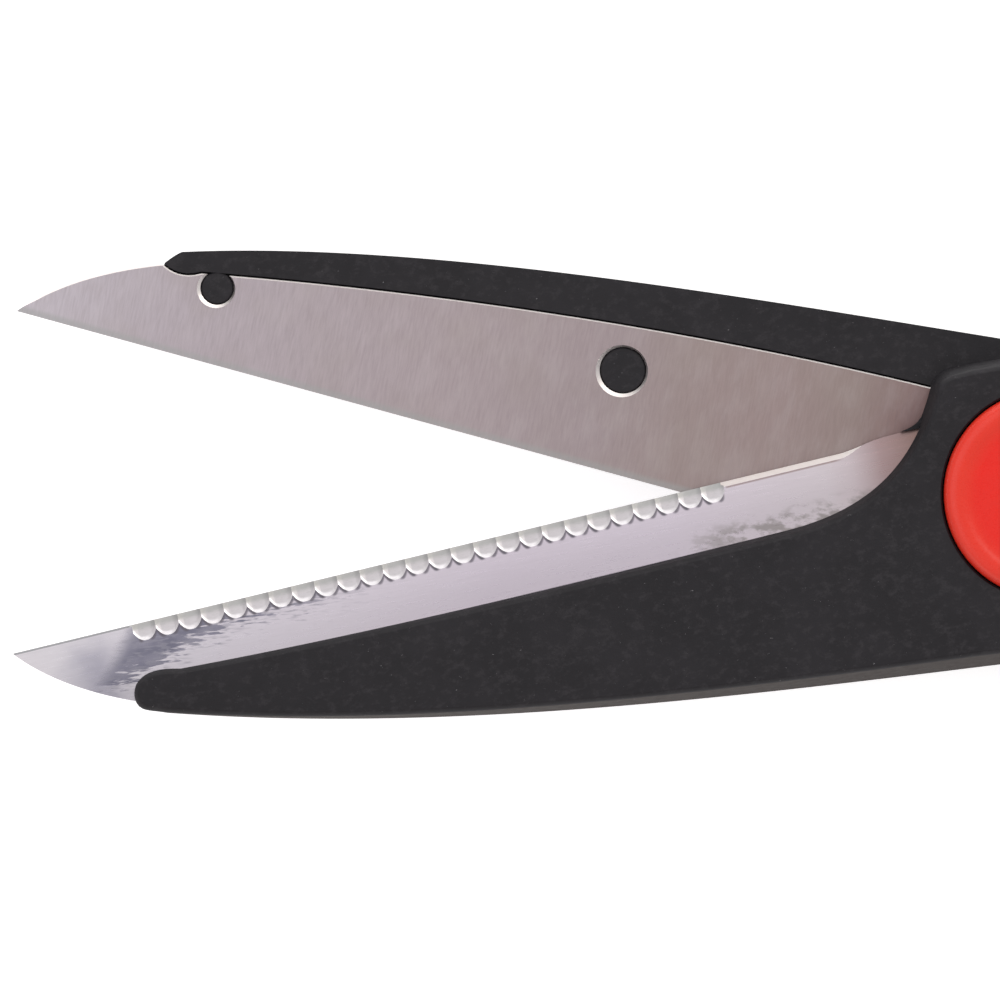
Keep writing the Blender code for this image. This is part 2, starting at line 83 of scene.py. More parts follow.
# Holes: centre x, centre y, radius
NOSE_HOLE = (-71.15, -4.66, 1.4)
WAIST_HOLE = (-36.63, -3.86, 1.94)
DRILL_DRIFT = (0.07, -0.08)   # from a countersink's middle to its hole's
TANG_HOLES = ((25.0, 4.9, 1.4), (38.0, 5.6, 1.4))

# Scallops
SCALLOPS = 26
PITCH = 1.95
FIRST_SCALLOP = 10.2      # from the tip, along the edge
SCALLOP_LENGTH = 1.5
SCALLOP_LAND = 0.1
SCALLOP_CUSP = 0.14       # height of the ridge between two scallops above their floor
SCALLOP_FLANK = 2.5       # how squarely a scallop's flanks stand up from its floor

# Shells
SHELL_INNER = 0.35
SHELL_NOSE = 3.3
SHELL_HUB = 5.2
HANDLE_HALF = 6.0
NOSE_X, TAPER_END_X, RAMP_X, HANDLE_X = -77.5, -12.0, 17.0, 24.0
HANDLE_ROUND = 3.0
JACKET_EDGE = 0.45
# The jacket's edge from wall to face, as shares of its width and depth: a soft chamfer
BROKEN_EDGE = ((0, 0), (0.05, 0.14), (0.20, 0.38), (0.42, 0.60), (0.64, 0.80), (0.84, 0.95), (1, 1))
POCKET_GAP = 0.16         # between a blade's edge and the jacket round it
PLUG_GAP = 0.05
PLUG_RIM = 0.12
PLUG_TOP = OUTER + 0.6
TANG_GAP = 0.1
HUB_CLEAR_R = 16.6
SHANK_Y = 0.75
CAP_R = 8.67
CAP_RECESS_R = 8.8
LEDGE_Z = 3.0
CAP_TOP = 6.0

# Loops: centre x, centre y, half length, half width of the hole in the moulding
THUMB_HOLE = (74.5, 18.6, 20.5, 11.6)
FINGER_HOLE = (80.5, 19.6, 29.5, 12.4)
LOOP_WALL = 6.2
LOOP_POWER = 2.35
LINER_WALL = 1.5
LINER_LIP = 1.3
STOP_PAD = (33.0, 41.0)   # first and last x
STOP_HALF = 2.6
INLAY = (26.0, 45.0, 6.0, 2.3)   # first x, last x, y, half width
INLAY_DEPTH = 1.2
RIBS = 9
RIB_TURN = 70
SOFT_GAP = 0.05           # round the soft parts and the stop pads

# Meshes
CLOSE = 0.0005            # vertices nearer than this are one
CLOSE_ON_SHELL = 0.002
CUT_CLOSE = 1e-4

# Floor and camera
FLOOR_HALF = 3000
FLOOR_DROP = 0.02
FRAME_WIDTH = 83.33
LENS = 600.0
SENSOR = 36.0
VIEW_POINT = Vector((-45.54, -0.5, MID_HEIGHT + 1.0))


# Curves

def bezier(start, out, back, end, steps):
    """Points along a cubic curve, without its first."""
    points = []
    for i in range(1, steps + 1):
        t = i / steps
        s = 1 - t
        points.append(tuple(
            s**3 * a + 3 * s * s * t * b + 3 * s * t * t * c + t**3 * d
            for a, b, c, d in zip(start, out, back, end)
        ))
    return points


def arc(centre, radius, first_deg, last_deg, steps):
    angles = [math.radians(first_deg + (last_deg - first_deg) * i / steps) for i in range(steps + 1)]
    return [(centre[0] + radius * math.cos(a), centre[1] + radius * math.sin(a)) for a in angles]


def loop_point(hole, grow, degrees):
    centre_x, centre_y, half_length, half_width = hole
    a = math.radians(degrees)
    c, s = math.cos(a), math.sin(a)
    power = 2 / LOOP_POWER
    return (
        centre_x + (half_length + grow) * math.copysign(abs(c) ** power, c),
        centre_y + (half_width + grow) * math.copysign(abs(s) ** power, s),
    )


def loop_ring(hole, grow, steps=120):
    return [loop_point(hole, grow, 360 * i / steps) for i in range(steps)]


def slot_outline(first, last, y, half_width, steps=16):
    right = arc((last - half_width, y), half_width, -90, 90, steps)
    left = arc((first + half_width, y), half_width, 90, 270, steps)
    return right + left


def edge_y(slope, x):
    return TIP_Y + slope * (x - TIP_X)


def blade_outline(slope):
    """The blank, anticlockwise from its tip along the spine and tang and back to the heel."""
    tip = (TIP_X, TIP_Y)
    belly_end = (-75.9, -5.9)
    spine_start = (-72.6, -5.7)
    spine_end = (-11.0, -7.05)
    points = [tip]
    points += bezier(tip, (-84.2, -3.0), (-79.5, -4.9), belly_end, 20)
    points += bezier(belly_end, (-75.2, -5.4), (-74.0, -5.0), spine_start, 8)
    points += bezier(spine_start, (-55.0, -7.5), (-32.0, -8.4), spine_end, 36)
    points += bezier(spine_end, (-2.0, -6.8), (6.0, -7.6), (10.5, -2.5), 14)
    points += bezier((10.5, -2.5), (13.5, 1.2), (18.0, 2.4), (24.0, 2.6), 8)
    points += arc((42.0, 5.6), 2.6, -90, 90, 12)
    points += [(22.0, 8.2), (-8.6, 7.1), (-10.9, 6.95)]
    heel = (HEEL_X, edge_y(slope, HEEL_X))
    points += bezier((-10.9, 6.95), (-12.2, 6.85), (-13.2, 6.75), (-14.1, 6.5), 4)
    points += bezier((-14.1, 6.5), (-15.0, 6.25), (-15.9, heel[1] + 0.06), heel, 6)
    return points


def shell_outline(chin, back_y, back_out, back_in, hole):
    """The moulding's parting line, anticlockwise from the nose. back_y is its depth at the hub."""
    hub_r = math.hypot(6.0, back_y)
    hub_start = math.degrees(math.atan2(back_y, -6.0))
    nose_top = (-73.5, -3.22)
    jacket_end = (-22.0, 0.5)
    back_corner = (-8.05, 10.5)
    shank_foot = (18.6, SHANK_Y)
    points = bezier(nose_top, (-75.6, -2.85), (-76.7, -3.1), (-77.4, -4.0), 9)
    corner_in, corner, corner_out, foot_in, foot = chin
    points += bezier((-77.4, -4.0), (-77.75, -4.6), corner_in, corner, 7)
    points += bezier(corner, corner_out, foot_in, foot, 6)
    points += bezier(foot, back_out, back_in, (-6.0, back_y), 40)
    hub = arc((0, 0), hub_r, hub_start, -4.0, 40)[1:]
    points += hub
    points += bezier(hub[-1], (hub_r + 0.1, 0.2), (16.4, SHANK_Y), shank_foot, 10)
    points += [(STOP_PAD[0] - 3, SHANK_Y), (STOP_PAD[1] + 3, SHANK_Y)]
    around = [loop_point(hole, LOOP_WALL, d) for d in range(-102, 136, 3)]
    points += around
    leaving = Vector(around[-1]) + (Vector(around[-1]) - Vector(around[-2])).normalized() * 15
    points += bezier(around[-1], leaving, (37.0, 11.0), (26.0, 10.6), 30)
    points += bezier((26.0, 10.6), (19.0, 10.35), (12.0, 11.75), (4.0, 11.75), 16)
    points += [(-4.6, 11.72)]
    points += bezier((-6.1, 11.6), (-6.9, 11.5), (-7.5, 11.3), back_corner, 8)
    points += bezier(back_corner, (-10.2, 5.5), (-13.5, 1.28), jacket_end, 30)
    points += bezier(jacket_end, (-39.0, -1.06), (-56.5, -2.65), nose_top, 30)
    return points


def outward(outline, i):
    """The way out of an anticlockwise outline at one of its points."""
    before, here, after = [Vector(outline[n % len(outline)]) for n in (i - 1, i, i + 1)]
    one, two = (here - before).normalized(), (after - here).normalized()
    return (Vector((one.y, -one.x)) + Vector((two.y, -two.x))).normalized()


def grown(outline, gap):
    return [tuple(Vector(point) + outward(outline, i) * gap) for i, point in enumerate(outline)]


# Solids

def prism(outline, low, high):
    bm = bmesh.new()
    face = bm.faces.new([bm.verts.new((x, y, low)) for x, y in outline])
    face.normal_update()
    if face.normal.z > 0:
        face.normal_flip()
    for v in bmesh.ops.extrude_face_region(bm, geom=[face])["geom"]:
        if isinstance(v, bmesh.types.BMVert):
            v.co.z = high
    bmesh.ops.recalc_face_normals(bm, faces=bm.faces)
    return bm


def cylinder(x, y, radius, low, high, steps=64):
    return prism([(x + px, y + py) for px, py in arc((0, 0), radius, 0, 360, steps)[:-1]], low, high)


def box(low, high):
    bm = bmesh.new()
    bmesh.ops.create_cube(bm, size=1)
    bmesh.ops.scale(bm, verts=bm.verts, vec=[b - a for a, b in zip(low, high)])
    bmesh.ops.translate(bm, verts=bm.verts, vec=[(a + b) / 2 for a, b in zip(low, high)])
    return bm


def turned(profile, steps=128, x=0, y=0):
    """A profile of (radius, height) points, from axis to axis, spun round a vertical axis."""
    bm = bmesh.new()
    verts = [bm.verts.new((x + r, y, z)) for r, z in profile]
    edges = [bm.edges.new(pair) for pair in zip(verts, verts[1:])]
    bmesh.ops.spin(
        bm, geom=verts + edges, cent=(x, y, 0), axis=(0, 0, 1), dvec=(0, 0, 0),
        angle=math.tau, steps=steps, use_merge=True, use_duplicate=False,
    )
    bmesh.ops.remove_doubles(bm, verts=bm.verts, dist=CLOSE)
    bmesh.ops.recalc_face_normals(bm, faces=bm.faces)
    return bm


def level(points, height):
    return [(x, y, height) for x, y in points]


def loft(rings, closed=False):
    """A skin drawn from ring to ring, each a list of points, all of one count."""
    bm = bmesh.new()
    row = first = [bm.verts.new(point) for point in rings[0]]
    edges = [bm.edges.new((row[i - 1], row[i])) for i in range(len(row))]
    for points in rings[1:] + rings[:1] * closed:
        place = {v: i for i, v in enumerate(row)}
        drawn = bmesh.ops.extrude_edge_only(bm, edges=edges)["geom"]
        row = [None] * len(row)
        for v in drawn:
            if isinstance(v, bmesh.types.BMVert):
                at = next(place[e.other_vert(v)] for e in v.link_edges if e.other_vert(v) in place)
                row[at] = v
                v.co = points[at]
        edges = [bm.edges.get((row[i - 1], row[i])) for i in range(len(row))]
    if closed:
        bmesh.ops.remove_doubles(bm, verts=bm.verts, dist=CLOSE)
    else:
        bm.faces.new(first)
        bm.faces.new(row)
    bmesh.ops.recalc_face_normals(bm, faces=bm.faces)
    return bm


def loose_object(name, bm, finish=None):
    mesh = bpy.data.meshes.new(name)
    bm.to_mesh(mesh)
    bm.free()
    obj = bpy.data.objects.new(name, mesh)
    bpy.context.scene.collection.objects.link(obj)
    if finish:
        mesh.materials.append(finish)
    return obj


def applied(obj):
    """The object's mesh with its modifiers worked in."""
    graph = bpy.context.evaluated_depsgraph_get()
    mesh = bpy.data.meshes.new_from_object(obj.evaluated_get(graph))
    old = obj.data
    obj.modifiers.clear()
    obj.data = mesh
    bpy.data.meshes.remove(old)


def carve(obj, tools, operation="DIFFERENCE"):
    """Cuts the tools out of obj, or joins them on. A tool is a bmesh, or a bmesh and its finish."""
    helpers = []
    for number, tool in enumerate(tools):
        bm, finish = tool if isinstance(tool, tuple) else (tool, None)
        helper = loose_object(f"{obj.name}_tool_{number}", bm, finish)
        modifier = obj.modifiers.new("carve", "BOOLEAN")
        modifier.operation = operation
        modifier.solver = "EXACT"
        modifier.material_mode = "TRANSFER"
        modifier.object = helper
        helpers.append(helper)
    applied(obj)
    for helper in helpers:
        mesh = helper.data
        bpy.data.objects.remove(helper)
        bpy.data.meshes.remove(mesh)


def finished(obj, place, body, nodes, sharp_deg=32):
    """Moves the mesh to its place in metres, shades it and hangs it on its body."""
    obj.data.transform(place)
    obj.data.transform(Matrix.Scale(MM, 4))
    obj.data.shade_smooth()
    obj.data.set_sharp_from_angle(angle=math.radians(sharp_deg))
    weighted = obj.modifiers.new("flat_faces", "WEIGHTED_NORMAL")
    weighted.keep_sharp = True
    weighted.weight = 80
    applied(obj)
    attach(obj, body)
    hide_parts(*nodes)
    return obj


# Materials

TONE_LENGTH = 90.0        # from the tip to the last stop of a blade's tones
TIMES = {"operation": "MULTIPLY"}
MINUS = {"operation": "SUBTRACT"}
TIMES_PLUS = {"operation": "MULTIPLY_ADD"}
SIZE = {"operation": "ABSOLUTE"}
EASED = {"interpolation_type": "SMOOTHSTEP"}


def linear(code):
    """A colour written as sRGB hex, turned linear for the shader."""
    parts = [int(code[i:i + 2], 16) / 255 for i in (0, 2, 4)]
    return (*[c / 12.92 if c <= 0.04045 else ((c + 0.055) / 1.055) ** 2.4 for c in parts], 1)


def plug(tree, node, inputs):
    """Sets or links a node's inputs, given by name or number."""
    for place, value in inputs.items():
        if isinstance(value, bpy.types.NodeSocket):
            tree.links.new(value, node.inputs[place])
        else:
            node.inputs[place].default_value = value


def add(tree, kind, inputs=(), output=0, **settings):
    """Adds a node with its settings and its inputs, and gives one of its outputs."""
    node = tree.nodes.new("ShaderNode" + kind)
    for name, value in settings.items():
        setattr(node, name, value)
    plug(tree, node, inputs if isinstance(inputs, dict) else dict(enumerate(inputs)))
    return node.outputs[output]


def new_finish(name, turn_deg=0.0, shift=(0, 0, 0)):
    """A material, its tree, its shader and Object coordinates in millimetres, turned and shifted."""
    made = bpy.data.materials.new(name)
    made.use_nodes = True
    tree = made.node_tree
    mm = add(tree, "Mapping", {
        "Vector": add(tree, "TexCoord", output="Object"), "Scale": (1 / MM,) * 3,
        "Rotation": (0, 0, math.radians(turn_deg)), "Location": shift,
    })
    return made, tree, tree.nodes["Principled BSDF"], mm


def grain(tree, mm, size, turn_deg=0.0, detail=3.0, rough=0.6):
    """An uneven pattern whose features have the given size in millimetres each way."""
    turn = (0, 0, math.radians(turn_deg))
    drawn = add(tree, "Mapping", {"Vector": mm, "Scale": size, "Rotation": turn}, vector_type="TEXTURE")
    return add(tree, "TexNoise", {"Vector": drawn, "Scale": 1.0, "Detail": detail, "Roughness": rough})


def overlap(tree, *shares):
    """The shares times each other. One given as (value, low, high, ...) is eased between the two."""
    whole = None
    for share in shares:
        if isinstance(share, tuple):
            share = add(tree, "MapRange", share, **EASED)
        whole = share if whole is None else add(tree, "Math", (whole, share), **TIMES)
    return whole


def coated(tree, colour, *coats):
    """The colour under its coats, each a share, as overlap takes it, and a hex code or a colour."""
    for share, coat in coats:
        under, over = [linear(c) if isinstance(c, str) else c for c in (colour, coat)]
        colour = add(tree, "Mix", {0: overlap(tree, share), 6: under, 7: over}, 2, data_type="RGBA")
    return colour


def toned(tree, along, *stops):
    """Colours along a blade from its tip, each a share of TONE_LENGTH and a hex code."""
    share = add(tree, "Math", (along, TONE_LENGTH), operation="DIVIDE")
    colour = add(tree, "ValToRGB", (share,))
    elements = colour.node.color_ramp.elements
    while len(elements) < len(stops):
        elements.new(0.5)
    for element, (position, code) in zip(elements, stops):
        element.position = position
        element.color = linear(code)
    return colour


def edge_frame(place, slope):
    """The turn and shift that lay the blade's edge along +X with the tip at the origin."""
    tip = place @ Vector((TIP_X, TIP_Y, 0))
    along = (place @ Vector((0, TIP_Y + slope * -TIP_X, 0)) - tip).normalized()
    turn = -math.degrees(math.atan2(along.y, along.x))
    moved = Matrix.Rotation(math.radians(turn), 3, "Z") @ tip
    return turn, (-moved.x, -moved.y, 0)


def scallop_place(tree, mm):
    """Where a point is in the scallops: its distances along and from the edge, the side of its
    scallop from -1 to 1, and its height above the scallop's own surface."""
    split = add(tree, "SeparateXYZ", (mm,)).node.outputs
    along, across = split["X"], add(tree, "Math", (split["Y"], -1.0), **TIMES)
    past_first = add(tree, "Math", (along, FIRST_SCALLOP), **MINUS)
    turn = add(tree, "Math", (past_first, PITCH), operation="DIVIDE")
    side = add(tree, "Math", (add(tree, "Math", (turn,), operation="FRACT"), 2.0, -1.0), **TIMES_PLUS)
    steep = add(tree, "Math", (add(tree, "Math", (side,), **SIZE), SCALLOP_FLANK), operation="POWER")
    ridge = add(tree, "Math", (steep, SCALLOP_CUSP), **TIMES)
    middle = SCALLOP_LENGTH / 2
    fall = (ground_height(middle) - (ground_height(SCALLOP_LENGTH) + INNER + SCALLOP_LAND) / 2) / middle
    left = add(tree, "Math", (SCALLOP_LENGTH, across), **MINUS)
    return along, across, side, add(tree, "Math", (ridge, add(tree, "Math", (left, fall), **TIMES)), **MINUS)


def belt_ground_steel():
    """Stainless steel ground along the bevel and buffed: pale and smooth, with a darker, smoother
    patch behind the tip whose darkness is a painted reflection, thinning below it in painted
    streaks, a browner tone by the heel that is painted reflection, and finger marks by the heel."""
    made, tree, shader, mm = new_finish("belt_ground_stainless_steel", *edge_frame(FRONT, FRONT_SLOPE))
    along, across, side, lip = scallop_place(tree, mm)
    soft = grain(tree, mm, (3.0, 2.0, 1.0), detail=2.0)
    strokes = grain(tree, mm, (2.0, 0.3, 1.0), turn_deg=-7.0, detail=2.5)
    trail = grain(tree, mm, (1.1, 0.2, 1.0), turn_deg=-10.0, detail=1.5)
    fine = grain(tree, mm, (2.5, 0.14, 1.0), turn_deg=-2.0)
    smear = grain(tree, mm, (1.6, 0.9, 1.0), turn_deg=-20.0, detail=4.0)
    # Tones along the blade from the tip: the browner end by the heel is painted reflection
    tone = toned(
        tree, along, (0.00, "CFCACE"), (0.05, "CBC7CC"), (0.13, "C8C3CA"), (0.30, "CAC3CB"), (0.45, "C8BFC9"),
        (0.62, "CDC4CE"), (0.77, "CDC4C9"), (0.795, "C6BABE"), (0.825, "A48D8D"), (0.86, "8F756F"),
    )
    # A soft lilac shade on the belly of the tip
    belly = overlap(tree, (add(tree, "Math", (soft, 2.0, along), **TIMES_PLUS), 3.6, 7.4),
                    (add(tree, "Math", (soft, 2.0, across), **TIMES_PLUS), 1.0, 3.6),
                    (along, 6.6, 9.6, 1.0, 0.0))
    # The smoother patch, darkened by a painted reflection: deep at its start, thinning to the scallops, with
    # a ragged lower edge
    reach = add(tree, "MapRange", (along, 7.0, 21.0, 4.3, 1.45), **EASED)
    ragged = add(tree, "Math", (add(tree, "Math", (strokes, 0.5), **MINUS), 5.5, across), **TIMES_PLUS)
    depth = add(tree, "Math", (ragged, reach), **MINUS)
    wavy = add(tree, "Math", (soft, 1.2, along), **TIMES_PLUS)
    begun = overlap(tree, (add(tree, "Math", (across, 0.9, wavy), **TIMES_PLUS), 10.0, 12.2))
    patch = overlap(tree, (depth, -0.3, 0.3, 1.0, 0.0), begun, (along, 20.0, 32.0, 1.0, 0.0))
    # The patch's darker colour is a painted reflection
    mirror = coated(tree, "5D5D6E", ((soft, 0.3, 0.7), "7B7987"))
    # Thinner streaks of the same painted reflection below it
    painted_reflection_streaks = overlap(tree, (trail, 0.5, 0.6), (depth, -0.3, 2.0, 0.6, 0.0), begun,
                       (along, 22.0, 34.0, 1.0, 0.0))
    # A fine brown line under the honed edge, past the last scallop: a painted shadow
    last = FIRST_SCALLOP + SCALLOPS * PITCH
    painted_shadow_line = overlap(tree, (across, 0.38, 0.46), (across, 0.50, 0.64, 1.0, 0.0),
                   (along, last, last + 0.3, 0.0, 0.7), (along, 70.3, 71.3, 1.0, 0.0))
    # Painted shade round each scallop's outline where it meets the face: dark, and wider than the edge
    # itself. The small wheel's burr between the scallops: dark, and drawn wider than it is, to show
    painted_scallop_shade = overlap(tree, (lip, 0.03, 0.09, 0.95, 0.0), (side, -0.3, 0.3, 1.0, 0.85),
                    (add(tree, "Math", (side,), **SIZE), 0.15, 0.5), (across, 1.5, 1.7, 1.0, 0.0),
                    (along, FIRST_SCALLOP + 0.2, FIRST_SCALLOP + 0.5), (along, last - 0.3, last, 1.0, 0.0))
    # Finger marks beside the jacket near the heel
    marked = overlap(tree, (smear, 0.44, 0.62), (along, 54.0, 62.0), (across, 2.8, 4.4), 0.7)
    colour = coated(
        tree, tone, (belly, "A5A2AD"), (overlap(tree, patch, 0.92), mirror), (painted_reflection_streaks, "87858F"),
        (painted_shadow_line, "8A736E"), (painted_scallop_shade, "605C64"), (marked, "87827E"), ((fine, 0.35, 0.75, 0.0, 0.10), "A7A1A8"),
    )
    dull = add(tree, "MapRange", (fine, 0.2, 0.8, 0.26, 0.33), **EASED)
    plug(tree, shader, {
        "Base Color": colour, "Metallic": 1.0,
        "Roughness": add(tree, "Math", (dull, overlap(tree, patch, 0.1)), **MINUS),
        "Normal": add(tree, "Bump", {"Height": fine, "Distance": 0.002 * MM}),
    })
    return made


def flute_steel():
    """The same steel in the scallops, cut by a small formed wheel: a dull grey band along the
    edge, painted shade on one side of each scallop, a painted highlight round its rim, and faint wheel marks."""
    made, tree, shader, mm = new_finish("wheel_cut_stainless_steel", *edge_frame(FRONT, FRONT_SLOPE))
    along, across, side, lip = scallop_place(tree, mm)
    marks = grain(tree, mm, (0.35, 0.12, 0.25), detail=2.0)
    worn = add(tree, "Math", (add(tree, "Math", (marks, 0.5), **MINUS), 0.5, across), **TIMES_PLUS)
    # Painted shade on one side of each scallop near the edge
    painted_flank_shade = overlap(tree, (side, -0.95, -0.45, 0.6, 0.0), (across, 0.3, 0.6, 1.0, 0.0))
    # A painted highlight along each scallop's rim, strongest on one side
    rim = overlap(tree, (lip, -0.08, -0.03), (side, 0.0, 0.5, 0.95, 0.2), (across, 0.35, 0.6))
    before_first = (along, FIRST_SCALLOP - 0.3, FIRST_SCALLOP, 1.0, 0.0)
    colour = coated(tree, "B4B4B3", ((worn, 0.25, 0.75), "CFCBCE"), (painted_flank_shade, "8E8E8C"), (rim, "FFFCFE"),
                    ((marks, 0.45, 0.75, 0.0, 0.2), "A3A1A1"), (before_first, "8A8A8D"))
    plug(tree, shader, {
        "Base Color": colour, "Metallic": 1.0,
        "Roughness": add(tree, "MapRange", (marks, 0.3, 0.7, 0.34, 0.44), **EASED),
        "Normal": add(tree, "Bump", {"Height": marks, "Distance": 0.003 * MM}),
    })
    return made


def bright_edge_steel():
    """Freshly honed steel: the fine second bevel and the broken corners, almost a mirror."""
    made, tree, shader, mm = new_finish("honed_stainless_steel")
    marks = grain(tree, mm, (0.333, 0.333, 0.333))
    colour = coated(tree, "FFFCFA", (marks, "FBF2EE"))
    plug(tree, shader, {"Base Color": colour, "Metallic": 1.0, "Roughness": 0.34})
    return made


def cross_ground_steel(name, place, slope):
    """Stainless steel ground across its width: fine parallel lines, pale at the tip and browner
    towards the pivot as a painted reflection, and a rubbed grey zone by the edge."""
    made, tree, shader, mm = new_finish(name, *edge_frame(place, slope))
    split = add(tree, "SeparateXYZ", (mm,)).node.outputs
    # Tones along the blade from the tip: the browner end towards the pivot is painted reflection
    tone = toned(
        tree, split["X"], (0.00, "CAC3CA"), (0.15, "BCB2B8"), (0.40, "B6A9AC"), (0.54, "AFA1A3"),
        (0.62, "AA9A98"), (0.70, "AA9896"), (0.775, "A4938F"), (0.822, "937A78"), (0.90, "7C5F5C"),
    )
    lines = grain(tree, mm, (0.16, 1.8, 1.0), turn_deg=4.0, detail=5.0, rough=0.7)
    broad = grain(tree, mm, (1.5, 4.0, 1.0), turn_deg=-3.0, detail=4.0)
    soft = grain(tree, mm, (6.25, 5.0, 1.0), detail=2.0)
    from_edge = add(tree, "Math", (split["Y"],), **SIZE)
    colour = coated(
        tree, tone, ((lines, 0.3, 0.75, 0.0, 0.22), "7C7273"), ((broad, 0.42, 0.72, 0.0, 0.12), "D5CDCF"),
        ((soft, 0.4, 0.75, 0.0, 0.2), "A79C95"), ((from_edge, 0.25, 0.75, 0.6, 0.0), "ABACAB"),
    )
    plug(tree, shader, {
        "Base Color": colour, "Metallic": 1.0,
        "Roughness": add(tree, "MapRange", (lines, 0.2, 0.8, 0.34, 0.46), **EASED),
        "Normal": add(tree, "Bump", {"Height": lines, "Distance": 0.004 * MM}),
    })
    return made


def spark_textured_abs():
    """Black ABS from a spark-eroded mould: fine even pits and a dull sheen, greyed where it has
    rubbed, with lint caught on it, and duller on the walls. The wall along the front jacket's
    back is a little browner: a painted reflection."""
    made, tree, shader, mm = new_finish("moulded_black_abs", -FRONT_DEG)
    pits = grain(tree, mm, (0.17, 0.17, 0.17))
    cloud = grain(tree, mm, (5.0, 5.0, 5.0))
    blotch = grain(tree, mm, (0.9, 0.7, 0.9), detail=5.0, rough=0.7)
    lint = grain(tree, mm, (0.45, 0.3, 0.4), detail=5.0, rough=0.75)
    upright = add(tree, "SeparateXYZ", (add(tree, "NewGeometry", output="Normal"),), "Z")
    wall = overlap(tree, (add(tree, "Math", (upright,), **SIZE), 0.25, 0.5, 1.0, 0.0))
    split = add(tree, "SeparateXYZ", (mm,)).node.outputs
    # The browner wall along the front jacket's back is a painted reflection
    painted_wall_reflection = overlap(tree, wall, (split["Y"], -8.0, -6.0, 0.9, 0.0), (split["X"], 2.0, 14.0, 1.0, 0.0))
    colour = coated(
        tree, "151318", ((cloud, 0.35, 0.7), "1C1A1F"), ((blotch, 0.46, 0.72, 0.0, 0.75), "2E2C30"),
        (painted_wall_reflection, "37302D"), ((lint, 0.66, 0.74, 0.0, 0.75), "8B8A8E"),
    )
    dull = add(tree, "MapRange", (blotch, 0.3, 0.8, 0.48, 0.62), **EASED)
    relief = add(tree, "Math", (pits, blotch), operation="ADD")
    plug(tree, shader, {
        "Base Color": colour, "Specular IOR Level": 0.34,
        "Roughness": add(tree, "Math", (wall, 0.25, dull), **TIMES_PLUS),
        "Normal": add(tree, "Bump", {"Height": relief, "Distance": 0.02 * MM, "Strength": 0.5}),
    })
    return made


def gloss_red_abs():
    """Red ABS from a polished mould: deep colour under a wet gloss, lighter towards the rim as a painted
    highlight, faintly rippled.
    """
    made, tree, shader, mm = new_finish("polished_red_abs")
    ripple = grain(tree, mm, (3.333, 3.333, 3.333), detail=2.0)
    fine = grain(tree, mm, (0.4, 0.4, 0.4), detail=2.0)
    level_part = add(tree, "VectorMath", (mm, (1.0, 1.0, 0.0)), **TIMES)
    radius = add(tree, "VectorMath", (level_part,), "Value", operation="LENGTH")
    # Lighter from the middle out towards the rim: a painted highlight
    colour = coated(tree, "EC2012", ((radius, 5.6, 7.2), "E83624"),
                    ((ripple, 0.35, 0.7, 0.0, 0.25), "DE2A1B"))
    plug(tree, shader, {
        "Base Color": colour, "Specular IOR Level": 0.4, "Coat Weight": 0.12, "Coat Roughness": 0.12,
        "Roughness": add(tree, "MapRange", (fine, 0.3, 0.7, 0.24, 0.34), **EASED),
        "Normal": add(tree, "Bump", {"Height": ripple, "Distance": 0.02 * MM}),
    })
    return made


def soft_red_tpr():
    """Red thermoplastic rubber: dry and matt with a faint bloom, and a fine grain."""
    made, tree, shader, mm = new_finish("soft_red_rubber")
    pores = grain(tree, mm, (0.2, 0.2, 0.2))
    cloud = grain(tree, mm, (3.333, 3.333, 3.333))
    colour = coated(tree, "BE2A1E", ((cloud, 0.35, 0.7), "CF3A2C"), ((pores, 0.5, 0.8, 0.0, 0.35), "96201A"))
    plug(tree, shader, {
        "Base Color": colour, "Specular IOR Level": 0.4, "Sheen Weight": 0.12,
        "Roughness": add(tree, "MapRange", (pores, 0.3, 0.7, 0.5, 0.66), **EASED),
        "Normal": add(tree, "Bump", {"Height": pores, "Distance": 0.03 * MM, "Strength": 0.6}),
    })
    return made


def stop_rubber():
    """Black moulded rubber: very matt, with a greyish bloom."""
    made, tree, shader, mm = new_finish("black_stop_rubber")
    pores = grain(tree, mm, (0.25, 0.25, 0.25), detail=4.0)
    plug(tree, shader, {
        "Base Color": coated(tree, "1A1A1A", (pores, "333130")), "Roughness": 0.82,
        "Normal": add(tree, "Bump", {"Height": pores, "Distance": 0.03 * MM}),
    })
    return made


def plated_steel():
    """Zinc-plated steel, turned: fine rings round the pivot under a pale bright plating."""
    made, tree, shader, mm = new_finish("zinc_plated_steel")
    rings = add(tree, "TexWave", {"Vector": mm, "Scale": 3.0, "Distortion": 0.8, "Detail": 3.0}, "Fac",
                wave_type="RINGS", rings_direction="Z")
    cloud = grain(tree, mm, (2.0, 2.0, 2.0))
    plug(tree, shader, {
        "Base Color": coated(tree, "C9CACB", (cloud, "B2B3B7"), ((rings, 0.3, 0.9, 0.0, 0.2), "8F9094")),
        "Metallic": 1.0, "Roughness": add(tree, "MapRange", (rings, 0.0, 1.0, 0.22, 0.32), **EASED),
        "Normal": add(tree, "Bump", {"Height": rings, "Distance": 0.004 * MM}),
    })
    return made


def natural_nylon():
    """Unfilled nylon: milky, slightly translucent, with a waxy sheen."""
    made, tree, shader, mm = new_finish("natural_nylon")
    cloud = grain(tree, mm, (1.25, 1.25, 1.25))
    plug(tree, shader, {
        "Base Color": coated(tree, "E6E3D6", (cloud, "D8D4C4")),
        "Roughness": add(tree, "MapRange", (cloud, 0.3, 0.7, 0.38, 0.5), **EASED),
        "Subsurface Weight": 0.15, "Subsurface Radius": (0.001, 0.001, 0.0008),
        "Normal": add(tree, "Bump", {"Height": cloud, "Distance": 0.01 * MM}),
    })
    return made


# Blades

def ground_height(across):
    """Height of the outer face at a distance from the edge: a shallow hollow grind."""
    share = min(1.0, across / GRIND_WIDTH)
    hollow = GRIND_HOLLOW * 4 * share * (1 - share)
    return INNER + EDGE_THICK + (THICK - EDGE_THICK) * share - hollow


